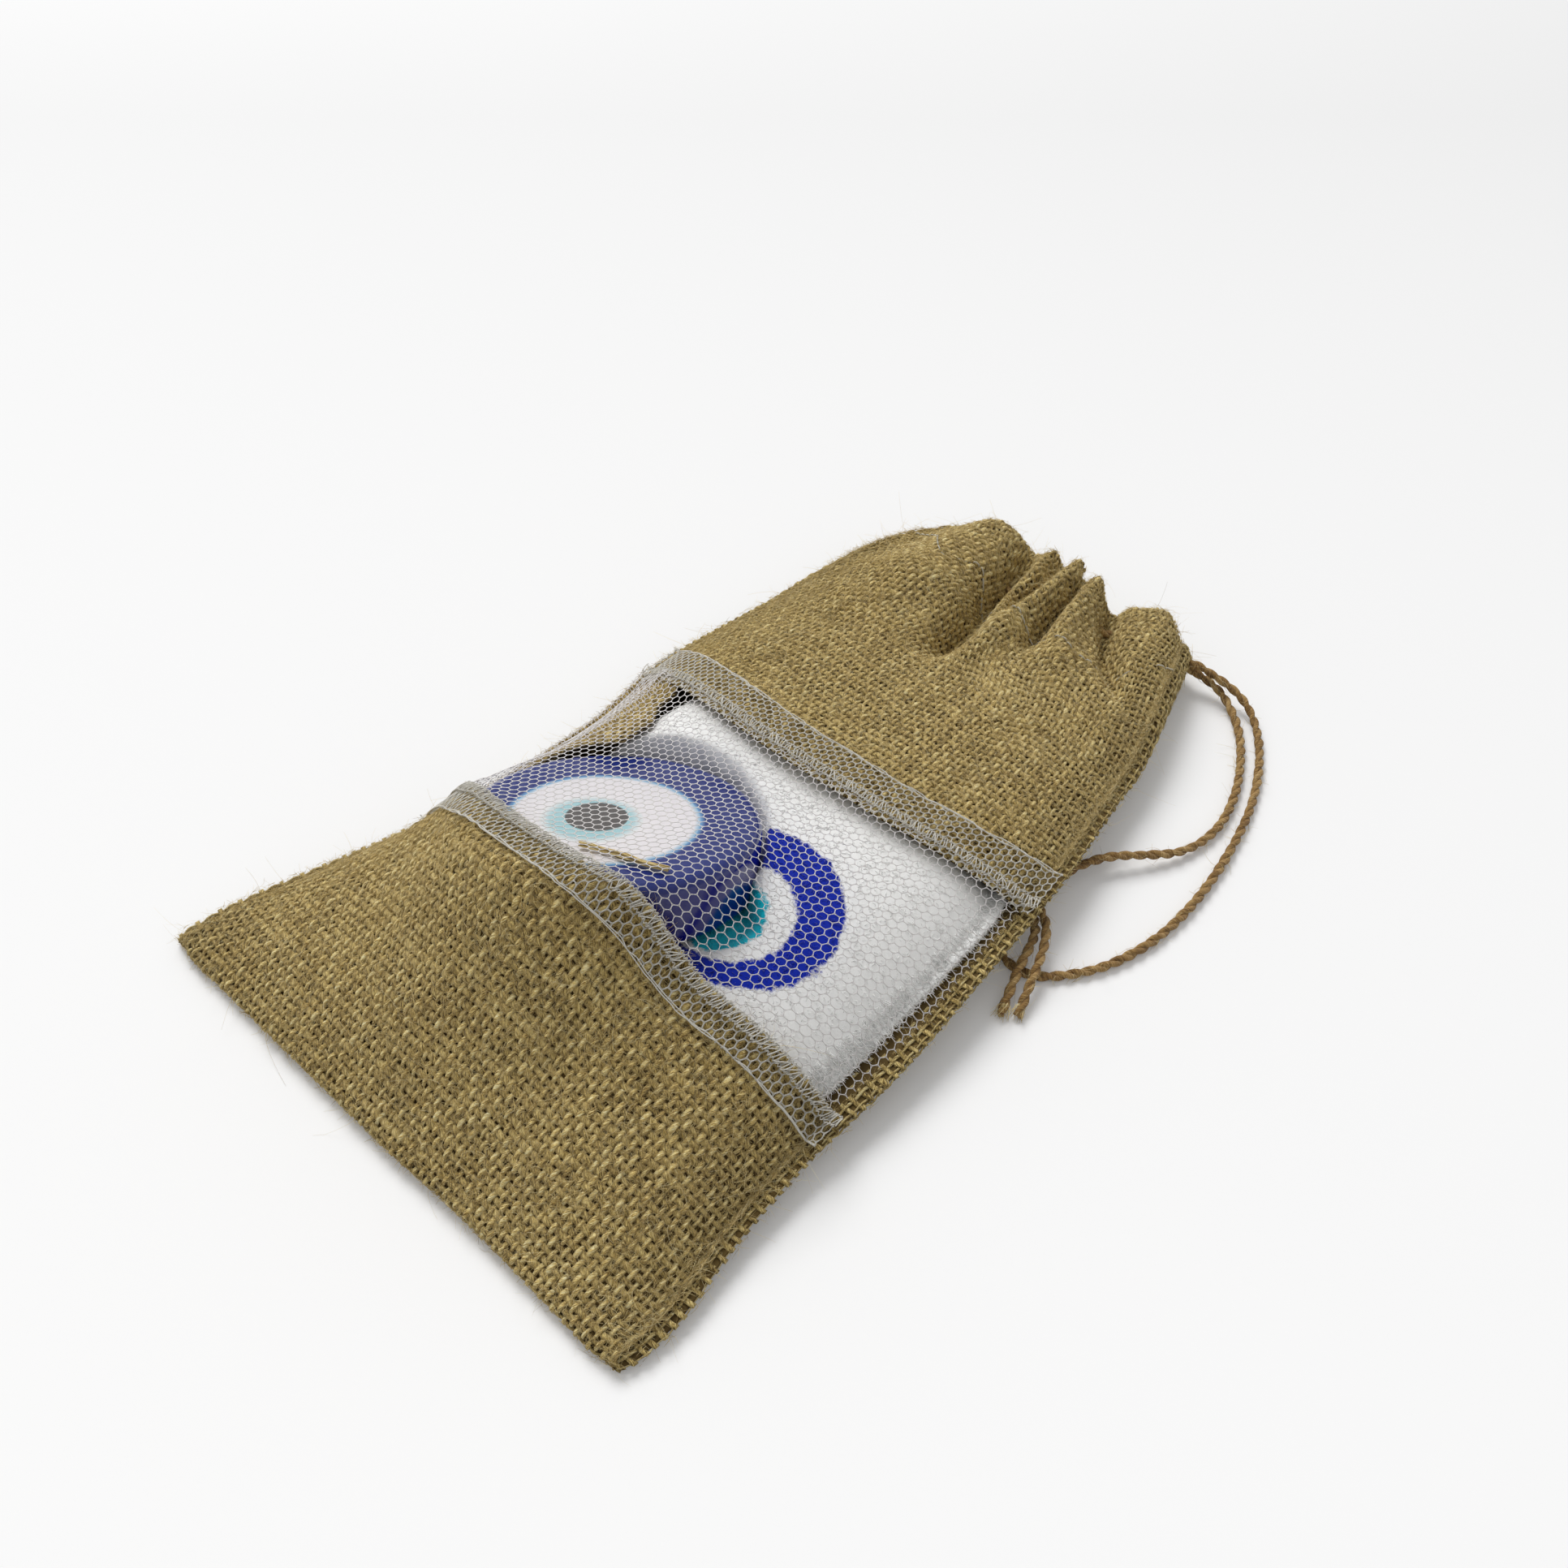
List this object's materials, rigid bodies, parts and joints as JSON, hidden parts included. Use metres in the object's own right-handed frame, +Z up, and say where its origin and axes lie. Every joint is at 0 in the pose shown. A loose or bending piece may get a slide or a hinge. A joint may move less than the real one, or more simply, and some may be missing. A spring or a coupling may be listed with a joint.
{
  "type": "drawstring gift pouch",
  "caption": "Burlap gift pouch lying on its back, with a net window, its mouth gathered on a jute drawstring, holding a folded towel and a glass eye disc.",
  "frame": {"origin": "middle of the base, on the surface that the pouch lies on", "axes": "+X across the width, towards the side where the drawstring comes out; +Y from the bottom seam to the mouth; +Z up, out of the front"},
  "size_m": [0.1573, 0.226, 0.0438],
  "materials": {
    "burlap": "plain woven jute, open and slubby",
    "net": "white hexagonal tulle net",
    "thread": "off-white sewing thread",
    "twine": "two-ply twisted jute, hairy",
    "towel": "white plush pile with a printed blue eye",
    "blue_glass": "polished cobalt blue",
    "white_glass": "polished white",
    "light_blue_glass": "polished light blue",
    "dark_glass": "polished near black"
  },
  "bodies": {
    "root": {"back_panel": "burlap", "front_lower_panel": "burlap", "front_upper_panel": "burlap", "left_side_seam": "burlap", "right_side_seam": "burlap", "bottom_seam": "burlap", "front_casing": "burlap", "back_casing": "burlap", "net_window": "net", "lower_net_band": "net", "upper_net_band": "net", "lower_band_stitch": "thread", "upper_band_stitch": "thread", "front_casing_stitch": "thread", "back_casing_stitch": "thread", "folded_towel": "towel", "loose_strand": "twine", "disc_body": "blue_glass", "disc_white_ring": "white_glass", "disc_light_blue_ring": "light_blue_glass", "disc_pupil": "dark_glass"},
    "drawstring": {"casing_twine": "twine", "outer_strand": "twine", "inner_strand": "twine", "first_tail": "twine", "second_tail": "twine", "drawstring_knot": "twine"}
  },
  "joints": [
    {"name": "drawstring_pull", "type": "slide", "parent": "root", "child": "drawstring", "axis": [1, 0, 0], "range_m": [0, 0.02], "deforming": ["front_casing", "back_casing", "front_casing_stitch", "back_casing_stitch"]}
  ]
}
